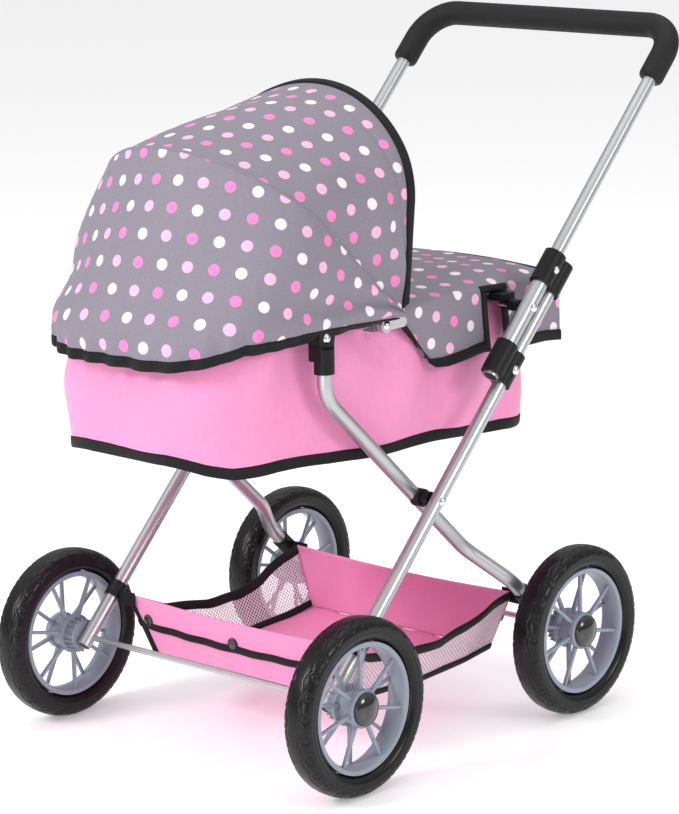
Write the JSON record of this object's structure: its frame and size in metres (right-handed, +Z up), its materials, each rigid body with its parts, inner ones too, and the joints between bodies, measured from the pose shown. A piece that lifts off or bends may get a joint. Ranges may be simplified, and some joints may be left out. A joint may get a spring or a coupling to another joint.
{
  "type": "doll stroller",
  "caption": "Folding doll stroller: a fabric carrycot with a hood and apron on a crossed tube frame with a push handle, spoked wheels and a lower basket.",
  "frame": {"origin": "on the floor under the middle of the whole stroller", "axes": "+Z up, +Y towards the handle, -Y towards the hood, +X towards the pusher's left"},
  "size_m": [0.363, 0.554, 0.5711],
  "materials": {
    "silver_tube": "silver lacquer, satin",
    "chrome": "polished domed heads",
    "steel": "plain axle steel",
    "spring_steel": "plain spring steel",
    "black_plastic": "black, moulded",
    "grey_plastic": "grey, moulded",
    "wheel_plastic": "blue-grey, moulded",
    "cap_plastic": "black, glossy",
    "tyre_black": "black, treaded",
    "foam": "black ribbed foam",
    "pink_satin": "pink woven nylon",
    "spotted_cloth": "grey with pink and white spots",
    "black_binding": "black twill tape",
    "net": "pale open net",
    "board": "stiff base board"
  },
  "bodies": {
    "chassis": {"chassis_tube_l": "silver_tube", "chassis_tube_r": "silver_tube", "handle_sleeve_l": "silver_tube", "handle_sleeve_r": "silver_tube", "lower_clamps": "black_plastic", "upper_clamps": "black_plastic", "clamp_rivets": "chrome", "carrycot_lock_pins": "chrome", "lock_pin_spacers": "black_plastic", "front_axle": "steel", "front_push_nuts": "steel", "cross_rivets": "chrome", "basket_front_panel": "pink_satin", "basket_floor": "pink_satin", "basket_mesh_l": "net", "basket_mesh_r": "net", "basket_straps_front": "black_binding", "basket_snaps_front": "chrome"},
    "legs": {"leg_tube_l": "silver_tube", "leg_tube_r": "silver_tube", "corner_fitting_l": "black_plastic", "corner_fitting_r": "black_plastic", "cross_spacers": "black_plastic", "rear_axle": "steel", "rear_push_nuts": "steel", "basket_rear_panel": "pink_satin", "basket_straps_rear": "black_binding", "basket_snaps_rear": "chrome"},
    "carrycot": {"carrycot_frame": "silver_tube", "pivot_collars": "black_plastic", "carrycot_hooks": "black_plastic", "hood_brackets": "grey_plastic", "pivot_rivets": "chrome", "carrycot_box": "pink_satin", "carrycot_board": "board", "carrycot_hem": "black_binding", "apron": "spotted_cloth"},
    "hood_middle": {"hood_mid_bow": "steel", "hood_nose_panel": "spotted_cloth"},
    "hood_edge": {"hood_front_bow": "steel", "hood_rear_panel": "spotted_cloth", "hood_binding": "black_binding"},
    "handle": {"handle_tube": "silver_tube", "handle_grip": "foam", "snap_springs": "spring_steel"},
    "button_left": {"snap_button_l": "chrome"},
    "button_right": {"snap_button_r": "chrome"},
    "wheel_front_left": {"tyre_front_left": "tyre_black", "wheel_front_left": "wheel_plastic", "hub_cap_front_left": "cap_plastic"},
    "wheel_front_right": {"tyre_front_right": "tyre_black", "wheel_front_right": "wheel_plastic", "hub_cap_front_right": "cap_plastic"},
    "wheel_rear_left": {"tyre_rear_left": "tyre_black", "wheel_rear_left": "wheel_plastic", "hub_cap_rear_left": "cap_plastic"},
    "wheel_rear_right": {"tyre_rear_right": "tyre_black", "wheel_rear_right": "wheel_plastic", "hub_cap_rear_right": "cap_plastic"}
  },
  "joints": [
    {"name": "frame_fold", "type": "hinge", "parent": "chassis", "child": "legs", "pos_m": [0, -0.0544, 0.20724], "axis": [1, 0, 0], "range_deg": [-45, 0], "deforming": ["basket_floor", "basket_mesh_l", "basket_mesh_r"]},
    {"name": "carrycot_tip", "type": "hinge", "parent": "legs", "child": "carrycot", "pos_m": [0, -0.16012, 0.354], "axis": [1, 0, 0], "range_deg": [0, 91]},
    {"name": "handle_slide", "type": "slide", "parent": "chassis", "child": "handle", "axis": [0, 0.6947, 0.7193], "range_m": [0, 0.035], "deforming": ["snap_springs", "snap_button_l", "snap_button_r"]},
    {"name": "snap_left", "type": "slide", "parent": "handle", "child": "button_left", "axis": [-1, 0, 0], "range_m": [0, 0.003], "stiffness_N_per_m": 800},
    {"name": "snap_right", "type": "slide", "parent": "handle", "child": "button_right", "axis": [1, 0, 0], "range_m": [0, 0.003], "stiffness_N_per_m": 800},
    {"name": "hood_fold", "type": "hinge", "parent": "carrycot", "child": "hood_middle", "pos_m": [0, -0.08402, 0.352], "axis": [1, 0, 0], "range_deg": [0, 30], "deforming": ["hood_nose_panel", "hood_rear_panel"]},
    {"name": "hood_edge_fold", "type": "hinge", "parent": "hood_middle", "child": "hood_edge", "pos_m": [0, -0.08402, 0.352], "axis": [1, 0, 0], "range_deg": [0, 45]},
    {"name": "spin_front_left", "type": "hinge", "parent": "chassis", "child": "wheel_front_left", "pos_m": [0.164, -0.185, 0.072], "axis": [1, 0, 0], "continuous": true},
    {"name": "spin_front_right", "type": "hinge", "parent": "chassis", "child": "wheel_front_right", "pos_m": [-0.164, -0.185, 0.072], "axis": [1, 0, 0], "continuous": true},
    {"name": "spin_rear_left", "type": "hinge", "parent": "legs", "child": "wheel_rear_left", "pos_m": [0.164, 0.09, 0.072], "axis": [1, 0, 0], "continuous": true},
    {"name": "spin_rear_right", "type": "hinge", "parent": "legs", "child": "wheel_rear_right", "pos_m": [-0.164, 0.09, 0.072], "axis": [1, 0, 0], "continuous": true}
  ],
  "couplings": [
    {"joint": "carrycot_tip", "follows": "frame_fold", "ratio": -2.02},
    {"joint": "hood_edge_fold", "follows": "hood_fold", "ratio": 1.5}
  ]
}
